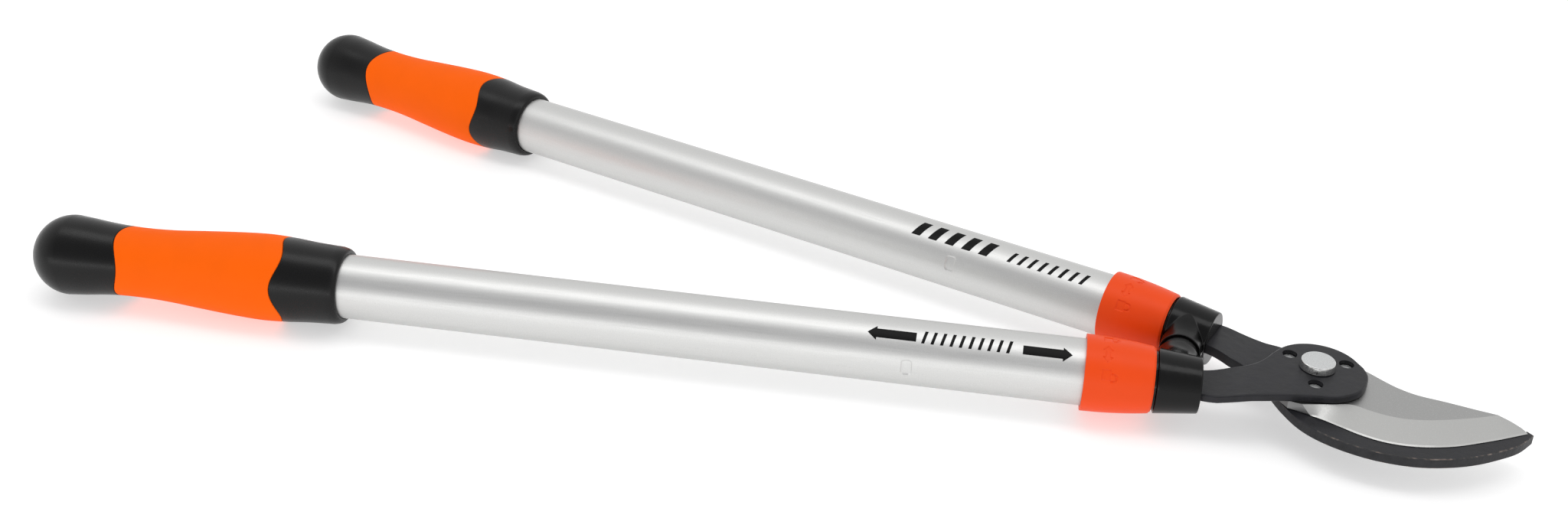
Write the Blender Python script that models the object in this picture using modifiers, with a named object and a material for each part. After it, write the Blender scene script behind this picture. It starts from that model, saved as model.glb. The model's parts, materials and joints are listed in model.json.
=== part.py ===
"""Telescopic bypass loppers, lying flat and closed, with both handles pushed in.

Frame: metres, +Z up. The origin is the centre of the pivot bolt's flat top, +X runs to the blade's tip,
and the two handles run back along -X, the near one towards -Y and the far one towards +Y.
A station is a distance along a handle's centre line, counted from its foot beside the pivot.
"""
import math

import bmesh
import bpy
from mathutils import Matrix, Vector

# Driving dimensions
GAP = 0.0003                    # clearance between pieces that touch
HEAD_TOP_HEIGHT = 0.0096        # top of the bolt head above the plane of the handles
PLANE_Z = -HEAD_TOP_HEIGHT
HALF_ANGLE = math.radians(11)   # each closed handle against the X axis
NEAR_FOOT = 0.01713             # pivot axis to the near handle's centre line
FAR_FOOT = 0.00591
FAR_SHIFT = -0.00198            # start of the far handle's stations along its centre line
CLOSED_MIDLINE_Y = -0.0057      # where the two buffers meet

OUTER_TUBE_R = 0.0150
OUTER_BORE_R = 0.0137
INNER_TUBE_R = 0.0120
INNER_BORE_R = 0.0108
STROKE = 0.300

# Stations along a handle
FERRULE_FRONT = 0.0515
TUBE_SOCKET = 0.0577
FERRULE_REAR = 0.0703
FERRULE_NECK_END = 0.0749
COLLAR_FRONT = 0.0723
COLLAR_REAR = 0.1026
PIN_STATION = 0.0820
TANG_END = 0.0920
OUTER_TUBE_START = 0.0890
DIMPLE_STATION = 0.1803
GRIP_FRONT = 0.4438
BAND_FRONT = 0.4726
BAND_REAR = 0.5525
OUTER_TUBE_END = 0.5250
BULB_CENTRE = 0.5796
BULB_R = 0.0191
BULB_LENGTH = 0.0183
DIMPLE_LENGTH = 0.0078
DIMPLE_WIDTH = 0.0046
GUIDE_BUSH_FRONT = DIMPLE_STATION + DIMPLE_WIDTH / 2 + GAP + STROKE
INNER_TUBE_END = GUIDE_BUSH_FRONT + 0.016
GUIDE_BUSH_END = INNER_TUBE_END + 0.0030
TANG_SHOULDER = FERRULE_FRONT + 0.0045

# Plates, as heights above the plane of the handles
STRAP_THICKNESS = 0.0040
BLADE_THICKNESS = 0.0040
HOOK_THICKNESS = 0.0048
TANG_HALF_WIDTH = 0.01035
TANG_INNER_HALF_WIDTH = 0.0092
JOGGLE_START_X = -0.047
JOGGLE_END_X = -0.023
STRAP_RISE = 0.0040
HOOK_DROP = 0.0045
NARROW_BEVEL = 0.00085          # width of the second bevel along the edge
EDGE_THICKNESS = 0.0004         # the narrow bevel starts this far above the underside
HOOK_HUB_R = 0.0218
STRAP_CROWN_R = 0.0203
BLADE_HUB_R = 0.0195

PIVOT_SHANK_R = 0.0050
PIVOT_BUSH_R = 0.0070
BOLT_HEAD_R = 0.0080
BOLT_TAIL = 0.0010              # the shank shows this far below the nut
BOLT_CHAMFER = 0.0005
WASHER_R = 0.0100
WASHER_THICKNESS = 0.0013
NUT_R = 0.0098
NUT_HEIGHT = 0.0068
DOWEL_R = 0.0030
DOWEL_CIRCLE_R = 0.0143
DOWEL_RECESS = 0.0021           # the dowels end this far below the strap's top
DOWEL_ANGLES = {"blade_dowel_front": 33, "blade_dowel_back": 153, "blade_dowel_side": -87}

# Ferrules
FERRULE_FRONT_R = 0.0126
FERRULE_REAR_R = 0.0147
FERRULE_NECK_R = 0.0133
FERRULE_EDGE = 0.0004
BOSS_X = -0.0600
BOSS_ROOT_R = 0.0109
BOSS_FACE_R = 0.0096
BOSS_FACE_OFFSET = 0.00245      # the boss stops this far from the middle, and the buffer stands proud
BUFFER_R = 0.0080
BUFFER_POCKET = 0.0033
PIN_R = 0.0025
PIN_HOLE_R = PIN_R + GAP
PIN_HALF_LENGTH = 0.0116
SLIT_WIDTH = 0.0016

GRIP_WALL = 0.0012              # depth of the recess that the orange band fills
WAVE = 0.0019                   # the band's wavy edges swing this far either way
WAVE_REACH = 0.014

TUBE_SIDES = 36
GRIP_SIDES = 32

MATERIALS = {
    # name: (colour, roughness, metallic)
    "strap_steel": ((0.045, 0.045, 0.050), 0.45, 0.8),
    "blade_steel": ((0.45, 0.45, 0.44), 0.35, 1.0),
    "zinc": ((0.62, 0.62, 0.60), 0.30, 1.0),
    "bronze": ((0.45, 0.30, 0.12), 0.40, 1.0),
    "tube_aluminium": ((0.66, 0.66, 0.65), 0.35, 1.0),
    "ferrule_plastic": ((0.012, 0.012, 0.013), 0.25, 0.0),
    "collar_plastic": ((0.80, 0.095, 0.018), 0.50, 0.0),
    "bush_plastic": ((0.35, 0.35, 0.34), 0.50, 0.0),
    "grip_black": ((0.014, 0.014, 0.015), 0.40, 0.0),
    "grip_orange": ((0.95, 0.150, 0.012), 0.65, 0.0),
    "buffer_rubber": ((0.010, 0.010, 0.010), 0.80, 0.0),
}


def clear_scene():
    for obj in list(bpy.data.objects):
        bpy.data.objects.remove(obj)


def new_collection(name):
    collection = bpy.data.collections.new(name)
    bpy.context.scene.collection.children.link(collection)
    return collection


def make_material(name):
    colour, roughness, metallic = MATERIALS[name]
    material = bpy.data.materials.new(name)
    material.use_nodes = True
    shader = material.node_tree.nodes["Principled BSDF"]
    shader.inputs["Base Color"].default_value = (*colour, 1.0)
    shader.inputs["Roughness"].default_value = roughness
    shader.inputs["Metallic"].default_value = metallic
    material.diffuse_color = (*colour, 1.0)
    return material


def place(obj, collection, parent=None):
    collection.objects.link(obj)
    obj.parent = parent
    return obj


def add_part(name, mesh, material, parent=None):
    """A finished piece, in the material named."""
    mesh.materials.append(materials[material])
    return place(bpy.data.objects.new(name, mesh), parts, parent)


def add_cutter(obj, parent=None):
    """A shape that only cuts or extends other pieces."""
    obj.hide_render = True
    obj.display_type = "WIRE"
    return place(obj, cutters, parent)


def boolean(obj, tool, operation):
    modifier = obj.modifiers.new(operation.lower(), "BOOLEAN")
    modifier.operation = operation
    modifier.solver = "EXACT"
    modifier.object = tool


def arc(centre, radius, start, end, count):
    """Points on a round stretch, from one angle to another in degrees."""
    angles = [math.radians(start + (end - start) * i / (count - 1)) for i in range(count)]
    return [(centre[0] + radius * math.cos(a), centre[1] + radius * math.sin(a)) for a in angles]


def smooth(points, per_span):
    """Points on a smooth curve through a few given ones."""
    knots = [points[0], *points, points[-1]]
    curve = []
    for before, start, end, after in zip(knots, knots[1:], knots[2:], knots[3:]):
        for step in range(per_span):
            t = step / per_span
            curve.append(tuple(
                0.5 * (2 * b + (c - a) * t + (2 * a - 5 * b + 4 * c - d) * t ** 2
                       + (3 * b - a - 3 * c + d) * t ** 3)
                for a, b, c, d in zip(before, start, end, after)))
    return [*curve, tuple(points[-1])]


def mm(points):
    return [tuple(value / 1000 for value in point) for point in points]


# ---- turned pieces: a profile of (radius, station), up the inner side and down the outer side ----

def profile_mesh(name, profile, closed):
    count = len(profile)
    edges = [(i, (i + 1) % count) for i in range(count if closed else count - 1)]
    mesh = bpy.data.meshes.new(name)
    mesh.from_pydata([(radius, 0, station) for radius, station in profile], edges, [])
    return mesh


def add_turning(obj, sides):
    screw = obj.modifiers.new("turn", "SCREW")
    screw.axis = "Z"
    screw.steps = screw.render_steps = sides
    screw.use_merge_vertices = True
    screw.merge_threshold = 0.00001
    screw.use_smooth_shade = True


def turned(name, profile, material, parent, sides=TUBE_SIDES):
    """A body of revolution. A profile that starts and ends on the axis is left open there."""
    on_axis = profile[0][0] == 0 and profile[-1][0] == 0
    obj = add_part(name, profile_mesh(name, profile, not on_axis), material, parent)
    add_turning(obj, sides)
    return obj


def evaluated_mesh(obj):
    depsgraph = bpy.context.evaluated_depsgraph_get()
    return bpy.data.meshes.new_from_object(obj.evaluated_get(depsgraph))


def warped_turning(name, profile, material, parent, warp):
    """A turned piece whose points are then moved along the axis by warp(radius, angle, station)."""
    rough = place(bpy.data.objects.new(name, profile_mesh(name, profile, profile[0][0] > 0)), parts)
    add_turning(rough, GRIP_SIDES)
    mesh = evaluated_mesh(rough)
    bpy.data.objects.remove(rough)
    for vertex in mesh.vertices:
        x, y, station = vertex.co
        vertex.co.z += warp(math.hypot(x, y), math.atan2(y, x), station)
    return add_part(name, mesh, material, parent)


def cylinder(name, radius, low, high, sides=24):
    """A closed cylinder on the local Z axis."""
    mesh = bpy.data.meshes.new(name)
    bm = bmesh.new()
    bmesh.ops.create_cone(bm, cap_ends=True, segments=sides, radius1=radius, radius2=radius,
                          depth=high - low, matrix=Matrix.Translation((0, 0, (low + high) / 2)))
    bm.to_mesh(mesh)
    bm.free()
    return mesh


def block(name, low, high):
    """A closed box between two corners."""
    mesh = bpy.data.meshes.new(name)
    bm = bmesh.new()
    size = Vector(high) - Vector(low)
    middle = (Vector(high) + Vector(low)) / 2
    bmesh.ops.create_cube(bm, size=1, matrix=Matrix.Translation(middle) @ Matrix.Diagonal((*size, 1)))
    bm.to_mesh(mesh)
    bm.free()
    return mesh


# ---- plates: a flat outline with round holes, given its thickness, then joggled ----

def flat_plate(name, outline, holes, thickness):
    curve = bpy.data.curves.new(name, "CURVE")
    curve.dimensions = "2D"
    curve.fill_mode = "BOTH"
    curve.extrude = thickness / 2
    for loop in (outline, *holes):
        spline = curve.splines.new("POLY")
        spline.points.add(len(loop) - 1)
        for point, (x, y) in zip(spline.points, loop):
            point.co = (x, y, 0, 1)
        spline.use_cyclic_u = True
    rough = place(bpy.data.objects.new(name, curve), parts)
    mesh = evaluated_mesh(rough)
    bpy.data.objects.remove(rough)
    bm = bmesh.new()
    bm.from_mesh(mesh)
    bmesh.ops.remove_doubles(bm, verts=bm.verts, dist=0.000001)
    bmesh.ops.dissolve_limit(bm, angle_limit=math.radians(0.5), verts=bm.verts, edges=bm.edges)
    bmesh.ops.recalc_face_normals(bm, faces=bm.faces)
    bm.to_mesh(mesh)
    bm.free()
    return mesh


def joggle(mesh, tang_height, head_height):
    """Set the plate's height at its tang and at its head, with a smooth step between them."""
    bm = bmesh.new()
    bm.from_mesh(mesh)
    span = JOGGLE_END_X - JOGGLE_START_X
    steps = 8
    for i in range(steps + 1):
        bmesh.ops.bisect_plane(bm, geom=[*bm.verts, *bm.edges, *bm.faces], dist=0.000001,
                               plane_co=(JOGGLE_START_X + span * i / steps, 0, 0), plane_no=(1, 0, 0))
    for vertex in bm.verts:
        t = min(max((vertex.co.x - JOGGLE_START_X) / span, 0), 1)
        vertex.co.z += tang_height + (head_height - tang_height) * t * t * (3 - 2 * t)
    bm.to_mesh(mesh)
    bm.free()


def ring(centre, radius, count=20):
    return arc(centre, radius, 0, 360 * (count - 1) / count, count)


def dowel_centres():
    return [(DOWEL_CIRCLE_R * math.cos(math.radians(a)), DOWEL_CIRCLE_R * math.sin(math.radians(a)))
            for a in DOWEL_ANGLES.values()]


def handle_frame(name, side, foot, shift, parent):
    """An empty whose Z axis is the handle's centre line, from head to grip, and whose X axis is up."""
    along = Vector((-math.cos(HALF_ANGLE), side * math.sin(HALF_ANGLE), 0))
    across = Vector((math.sin(HALF_ANGLE), side * math.cos(HALF_ANGLE), 0))
    up = Vector((0, 0, 1))
    matrix = Matrix((up, along.cross(up), along)).transposed().to_4x4()
    matrix.translation = across * foot + along * shift + Vector((0, 0, PLANE_Z))
    empty = place(bpy.data.objects.new(name, None), guides, parent)
    empty.matrix_world = matrix
    return empty


def tang_points(frame):
    """The tang's outline, from the edge nearer +Y to the edge nearer -Y, round its hidden end."""
    edge = [(TANG_HALF_WIDTH, FERRULE_FRONT), (TANG_HALF_WIDTH, TANG_SHOULDER),
            (TANG_INNER_HALF_WIDTH, TANG_SHOULDER), (TANG_INNER_HALF_WIDTH, TANG_END)]
    local = edge + [(-across, along) for across, along in edge[::-1]]
    matrix = frame.matrix_world
    return [tuple((matrix @ Vector((0, across, along)))[:2]) for across, along in local]


def pin_hole(frame):
    centre = frame.matrix_world @ Vector((0, 0, PIN_STATION))
    return ring((centre.x, centre.y), PIN_HOLE_R, 16)


# ---- the head ----

def build_hook_plate(frame, body):
    """Counter-blade, strap and tang in one plate. Its head lies under the blade."""
    upper = mm([(-37, 24.9), (-28, 25.3), (-19, 24.6), (-9, 22.6)])
    hub = arc((0, 0), HOOK_HUB_R, 85, -15, 9)
    inner = smooth(mm([(23, -14), (28, -21.5), (37, -26.8), (48, -27.8), (58, -25), (68, -19.6),
                       (78, -12.3), (86, -5.8), (90.5, -2.8)]), 2)
    outer = smooth(mm([(93.2, -5), (88, -14.8), (80.6, -22.9), (71, -31.3), (60, -38), (47, -43),
                       (32, -44.8), (18.5, -43.3), (6.5, -39.4), (-3, -33.2), (-11.3, -23.6), (-18, -13.5),
                       (-25, -5), (-32, -0.8), (-38, 0.3)]), 2)
    outline = [*tang_points(frame)[::-1], *upper, *hub, *inner, *outer]
    mesh = flat_plate("hook_plate", outline, [ring((0, 0), PIVOT_SHANK_R + GAP), pin_hole(frame)],
                      HOOK_THICKNESS)
    joggle(mesh, PLANE_Z, PLANE_Z - HOOK_DROP)
    add_part("hook_plate", mesh, "strap_steel", body)


def build_blade_strap(frame, body):
    """Upper plate of the blade's side, over the blade."""
    upper = smooth(mm([(-43.4, -14.3), (-37, -11.8), (-30, -9.3), (-26, -6.2), (-22.6, -1),
                       (-20.2, 5)]), 2)
    crown = arc((0, 0), STRAP_CROWN_R, 160, 37, 12)
    nose = smooth(mm([(19.6, 8), (22, 2), (21.8, -6), (18.9, -14), (11.2, -21), (0, -24.6),
                      (-11.3, -28.8), (-20, -32.6), (-29, -36.2), (-38, -37.6)]), 3)
    outline = [*tang_points(frame)[::-1], *upper, *crown, *nose]
    holes = [ring((0, 0), PIVOT_BUSH_R + GAP), pin_hole(frame)]
    holes += [ring(centre, DOWEL_R + GAP, 16) for centre in dowel_centres()]
    mesh = flat_plate("blade_strap", outline, holes, STRAP_THICKNESS - GAP)
    joggle(mesh, PLANE_Z, PLANE_Z + STRAP_RISE)
    add_part("blade_strap", mesh, "strap_steel", body)


def blade_outlines():
    """The underside, the top of the narrow bevel and the upper face, point for point.

    The wide bevel starts at the heel with a run-out, and near the tip it reaches the blade's back, which
    then drops with it to the point.
    """
    low, high = PLANE_Z - (BLADE_THICKNESS - GAP) / 2, PLANE_Z + (BLADE_THICKNESS - GAP) / 2
    hub = arc((0, 0), BLADE_HUB_R, 62, 205, 12)
    heel = mm([(-16.5, -14), (-14.5, -21), (-9, -26.6), (-3, -26.8)])
    edge = smooth(mm([(1.4, -28.5), (6, -29.4), (13, -31.7), (23, -35.1), (33, -36.5), (43, -35.4),
                      (53, -32.1), (63, -26.9), (73, -19.7), (79, -15.1), (83.5, -11.4), (87.3, -8.2),
                      (90.6, -5.4)]), 2)
    bevel_top = smooth(mm([(-3, -26.8), (7, -22.6), (17, -18.5), (24, -19.8), (32, -20.9), (40, -20.4),
                           (48.5, -17.9), (57, -13.9), (66, -8.9), (72.5, -4.8), (77.5, -1.2)]), 2)
    drop = [(0.0775, -0.0012, high), (0.0830, -0.0018, PLANE_Z + 0.0004),
            (0.0880, -0.0032, PLANE_Z - 0.0010)]
    back = mm([(68, -0.4), (56, 0.6), (44, 1.2), (36, 3.5), (30, 6.6), (23, 11), (16, 15)])

    upper_bevel = [(x, y, high) for x, y in bevel_top] + smooth(drop, 2)[1:]
    narrow = []
    for (x, y), (bx, by, _) in zip(edge, upper_bevel):
        share = NARROW_BEVEL / math.hypot(bx - x, by - y)
        narrow.append((x + (bx - x) * share, y + (by - y) * share))
    around = [*hub, *heel]
    behind = [*[(x, y) for x, y, _ in drop[::-1]], *back]
    lower_loop = [(x, y, low) for x, y in [*around, *edge, *behind]]
    narrow_loop = [(x, y, low + EDGE_THICKNESS) for x, y in [*around, *narrow, *behind]]
    upper_loop = [*[(x, y, high) for x, y in around], *upper_bevel, *drop[::-1],
                  *[(x, y, high) for x, y in back]]
    return lower_loop, narrow_loop, upper_loop


def build_blade(body):
    bm = bmesh.new()
    loops = [[bm.verts.new(point) for point in outline] for outline in blade_outlines()]
    count = len(loops[0])
    for lower, upper in zip(loops, loops[1:]):
        for i in range(count):
            j = (i + 1) % count
            bm.faces.new((lower[i], lower[j], upper[j], upper[i]))
    bmesh.ops.remove_doubles(bm, verts=bm.verts, dist=0.000001)
    bmesh.ops.holes_fill(bm, edges=bm.edges)
    bmesh.ops.triangulate(bm, faces=bm.faces)
    bmesh.ops.recalc_face_normals(bm, faces=bm.faces)
    mesh = bpy.data.meshes.new("blade")
    bm.to_mesh(mesh)
    bm.free()
    blade = add_part("blade", mesh, "blade_steel", body)
    low, high = PLANE_Z - 0.01, PLANE_Z + 0.01
    bush_hole = cylinder("blade_bush_hole", PIVOT_BUSH_R + GAP, low, high)
    boolean(blade, add_cutter(bpy.data.objects.new("blade_bush_hole", bush_hole), body), "DIFFERENCE")
    for name, (x, y) in zip(DOWEL_ANGLES, dowel_centres()):
        hole = bpy.data.objects.new(name + "_hole", cylinder(name, DOWEL_R + GAP, low, high, 16))
        hole.location = (x, y, 0)
        boolean(blade, add_cutter(hole, body), "DIFFERENCE")


def build_dowels(body):
    low = PLANE_Z - BLADE_THICKNESS / 2 + GAP
    high = PLANE_Z + BLADE_THICKNESS / 2 + STRAP_THICKNESS - DOWEL_RECESS
    for name, (x, y) in zip(DOWEL_ANGLES, dowel_centres()):
        dowel = add_part(name, cylinder(name, DOWEL_R, low, high, 16), "zinc", body)
        dowel.location = (x, y, 0)


def build_pivot(body, turning_body):
    strap_top = PLANE_Z + STRAP_RISE + STRAP_THICKNESS / 2
    head_bottom = strap_top + GAP / 2
    hook_bottom = PLANE_Z - HOOK_DROP - HOOK_THICKNESS / 2
    washer_top = hook_bottom - GAP
    washer_bottom = washer_top - WASHER_THICKNESS
    nut_top = washer_bottom - GAP
    nut_bottom = nut_top - NUT_HEIGHT
    end = nut_bottom - BOLT_TAIL
    turned("pivot_bolt", [(0, 0), (BOLT_HEAD_R - BOLT_CHAMFER, 0), (BOLT_HEAD_R, -BOLT_CHAMFER),
                          (BOLT_HEAD_R, head_bottom), (PIVOT_SHANK_R, head_bottom),
                          (PIVOT_SHANK_R, end + BOLT_CHAMFER), (PIVOT_SHANK_R - BOLT_CHAMFER, end),
                          (0, end)], "zinc", body, 32)
    bush_low = PLANE_Z - BLADE_THICKNESS / 2 + GAP
    bush_high = strap_top - GAP
    turned("pivot_bush", [(PIVOT_SHANK_R + GAP, bush_low), (PIVOT_SHANK_R + GAP, bush_high),
                          (PIVOT_BUSH_R, bush_high), (PIVOT_BUSH_R, bush_low)], "bronze", turning_body, 24)
    turned("pivot_washer", [(PIVOT_SHANK_R + GAP, washer_bottom), (PIVOT_SHANK_R + GAP, washer_top),
                            (WASHER_R, washer_top), (WASHER_R, washer_bottom)], "zinc", body, 24)
    nut = add_part("pivot_nut", cylinder("pivot_nut", NUT_R, nut_bottom, nut_top, 6), "zinc", body)
    bore = cylinder("nut_bore", PIVOT_SHANK_R + GAP, nut_bottom - 0.01, nut_top + 0.01)
    boolean(nut, add_cutter(bpy.data.objects.new("nut_bore", bore), body), "DIFFERENCE")


# ---- a handle: ferrule, buffer, pin, inner tube and guide bush stay with the head ----

def build_ferrule(name, frame, side, plate_thickness):
    socket_r = INNER_TUBE_R + GAP
    ferrule = turned(name + "_ferrule",
                     [(0, TUBE_SOCKET), (socket_r, TUBE_SOCKET), (socket_r, FERRULE_NECK_END),
                      (FERRULE_NECK_R + GAP, FERRULE_NECK_END), (FERRULE_NECK_R + GAP, FERRULE_REAR),
                      (FERRULE_REAR_R - FERRULE_EDGE, FERRULE_REAR),
                      (FERRULE_REAR_R, FERRULE_REAR - FERRULE_EDGE),
                      (FERRULE_FRONT_R, FERRULE_FRONT + FERRULE_EDGE),
                      (FERRULE_FRONT_R - FERRULE_EDGE, FERRULE_FRONT), (0, FERRULE_FRONT)],
                     "ferrule_plastic", frame)
    face_y = CLOSED_MIDLINE_Y + side * BOSS_FACE_OFFSET
    root_y = (frame.matrix_world @ Vector((0, 0, (FERRULE_FRONT + FERRULE_REAR) / 2))).y
    turn = Matrix.Rotation(math.radians(90) * side, 4, "X")

    def boss_object(label, radius_root, radius_face, y_root, y_face):
        """A cone along Y, from y_root to y_face."""
        mesh = bpy.data.meshes.new(label)
        bm = bmesh.new()
        bmesh.ops.create_cone(bm, cap_ends=True, segments=32, radius1=radius_root, radius2=radius_face,
                              depth=abs(y_root - y_face), matrix=turn)
        bm.to_mesh(mesh)
        bm.free()
        obj = bpy.data.objects.new(label, mesh)
        obj.location = (BOSS_X, (y_root + y_face) / 2, PLANE_Z)
        return obj

    boss = boss_object(name + "_boss", BOSS_ROOT_R, BOSS_FACE_R, root_y, face_y)
    boolean(ferrule, add_cutter(boss), "UNION")
    beyond = FERRULE_NECK_END + 0.005
    room = [(FERRULE_NECK_R, FERRULE_REAR), (FERRULE_NECK_R, beyond),
            (FERRULE_REAR_R + 0.0007, beyond), (FERRULE_REAR_R + 0.0007, FERRULE_REAR)]
    collar_room = bpy.data.objects.new(name + "_collar_room", profile_mesh("collar_room", room, True))
    add_turning(collar_room, TUBE_SIDES)
    boolean(ferrule, add_cutter(collar_room, frame), "DIFFERENCE")
    socket = cylinder(name + "_socket", socket_r, TUBE_SOCKET, FERRULE_NECK_END + 0.001, TUBE_SIDES)
    boolean(ferrule, add_cutter(bpy.data.objects.new(name + "_socket", socket), frame), "DIFFERENCE")
    pocket_y = face_y + side * BUFFER_POCKET
    pocket_r = BUFFER_R + GAP
    pocket = boss_object(name + "_pocket", pocket_r, pocket_r, pocket_y, face_y - side * 0.001)
    boolean(ferrule, add_cutter(pocket), "DIFFERENCE")
    slot = block(name + "_slot",
                 (-plate_thickness / 2 - GAP, -TANG_HALF_WIDTH - GAP, FERRULE_FRONT - 0.001),
                 (plate_thickness / 2 + GAP, TANG_HALF_WIDTH + GAP, TUBE_SOCKET + 0.0002))
    boolean(ferrule, add_cutter(bpy.data.objects.new(name + "_slot", slot), frame), "DIFFERENCE")

    buffer = boss_object(name + "_buffer", BUFFER_R, BUFFER_R, pocket_y - side * GAP,
                         CLOSED_MIDLINE_Y + side * GAP / 2)
    buffer.data.materials.append(materials["buffer_rubber"])
    place(buffer, parts)
    buffer.parent = frame.parent


def build_inner_tube(name, frame):
    tube = turned(name + "_inner_tube",
                  [(INNER_BORE_R, TUBE_SOCKET + GAP), (INNER_BORE_R, INNER_TUBE_END),
                   (INNER_TUBE_R, INNER_TUBE_END), (INNER_TUBE_R, TUBE_SOCKET + GAP)],
                  "tube_aluminium", frame)
    drill = bpy.data.objects.new(name + "_drill", cylinder(name + "_drill", PIN_HOLE_R, -0.02, 0.02, 16))
    drill.location = (0, 0, PIN_STATION)
    drill.rotation_euler = (0, math.radians(90), 0)
    boolean(tube, add_cutter(drill, frame), "DIFFERENCE")
    pin_mesh = cylinder(name + "_tang_pin", PIN_R, -PIN_HALF_LENGTH, PIN_HALF_LENGTH, 16)
    pin = add_part(name + "_tang_pin", pin_mesh, "zinc", frame)
    pin.location = (0, 0, PIN_STATION)
    pin.rotation_euler = (0, math.radians(90), 0)
    bush_r = OUTER_BORE_R - GAP
    mouth_r = INNER_BORE_R - 0.0018
    turned(name + "_guide_bush",
           [(INNER_TUBE_R + GAP, GUIDE_BUSH_FRONT), (INNER_TUBE_R + GAP, INNER_TUBE_END + GAP),
            (mouth_r, INNER_TUBE_END + GAP), (mouth_r, GUIDE_BUSH_END),
            (bush_r, GUIDE_BUSH_END), (bush_r, GUIDE_BUSH_FRONT)],
           "bush_plastic", frame, 32)


# ---- a handle: outer tube, collet, grip and band slide together, and the collar turns on them ----

def build_outer_tube(name, frame, dimple_angle):
    tube = turned(name + "_outer_tube",
                  [(OUTER_BORE_R, OUTER_TUBE_START), (OUTER_BORE_R, OUTER_TUBE_END),
                   (OUTER_TUBE_R, OUTER_TUBE_END), (OUTER_TUBE_R, OUTER_TUBE_START)],
                  "tube_aluminium", frame)
    around = Matrix.Rotation(dimple_angle, 4, "Z")
    for label, low, high, shrink, operation in (("stop", 0.0127, 0.0139, 0, "UNION"),
                                                ("dimple", 0.0142, 0.0160, 0.0003, "DIFFERENCE")):
        half_length = (DIMPLE_LENGTH - DIMPLE_WIDTH) / 2
        radius = DIMPLE_WIDTH / 2 - shrink
        stadium = [*arc((0, half_length), radius, 0, 180, 7),
                   *arc((0, -half_length), radius, 180, 360, 7)]
        mesh = flat_plate(name + label, stadium, [], high - low)
        obj = bpy.data.objects.new(name + "_" + label, mesh)
        stand = Matrix.Translation(((low + high) / 2, 0, DIMPLE_STATION)) @ Matrix.Rotation(
            math.radians(90), 4, "Y")
        add_cutter(obj, frame)
        obj.matrix_local = around @ stand
        boolean(tube, obj, operation)


def build_collet(name, frame):
    """Split ring on the inner tube: a cone under the collar, a flange, and a tail in the outer tube."""
    inner = INNER_TUBE_R + GAP
    front = COLLAR_FRONT + 0.0033
    flange = OUTER_TUBE_START - GAP
    tail_end = OUTER_TUBE_START + 0.019
    tail_r = OUTER_BORE_R - GAP
    flange_r = OUTER_TUBE_R - 0.0001
    flange_front = flange - 0.0012
    collet = turned(name + "_collet",
                    [(inner, front), (inner, tail_end), (tail_r, tail_end), (tail_r, flange),
                     (flange_r, flange), (flange_r, flange_front), (0.0144, flange_front), (0.0137, front)],
                    "bush_plastic", frame, 32)
    for turn in range(4):
        slit = block(name + "_slit", (0.010, -SLIT_WIDTH / 2, front - 0.001),
                     (0.017, SLIT_WIDTH / 2, flange_front - 0.0008))
        obj = bpy.data.objects.new(name + "_slit", slit)
        obj.rotation_euler = (0, 0, math.radians(45 + 90 * turn))
        boolean(collet, add_cutter(obj, frame), "DIFFERENCE")


def build_collar(name, frame):
    rear_bore = OUTER_TUBE_R + GAP
    bore = mm([(13.7, 75.0), (14.05, 75.3), (14.75, 86.6), (15.3, 87.2)])
    outside = mm([(17.1, 102.4), (17.2, 101.8), (16.9, 92), (16.1, 82), (15.1, 73.8), (14.8, 72.8)])
    profile = [(0.0137, COLLAR_FRONT), *bore, (rear_bore, COLLAR_REAR), (0.01675, COLLAR_REAR), *outside,
               (0.0142, COLLAR_FRONT)]
    turned(name + "_lock_collar", profile, "collar_plastic", frame)


def grip_outline():
    """The grip's outer line as (radius, station): a smooth waist and swell, then the round bulb."""
    swell = mm([(18.3, 448), (18.9, 460), (19.8, 470), (20.3, 480), (20.2, 488), (19.5, 500), (18.3, 515),
                (17.1, 529), (16.6, 540), (16.6, 551), (17.2, 561), (18.3, 571)])
    bulb = [(BULB_R * math.cos(a), BULB_CENTRE + BULB_LENGTH * math.sin(a))
            for a in (math.radians(15 * i) for i in range(6))]
    return [*swell, *bulb, (0, BULB_CENTRE + BULB_LENGTH)]


def radius_at(outline, station):
    for (r0, s0), (r1, s1) in zip(outline, outline[1:]):
        if s0 <= station <= s1:
            return r0 + (r1 - r0) * (station - s0) / (s1 - s0)
    return outline[-1][0]


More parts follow.
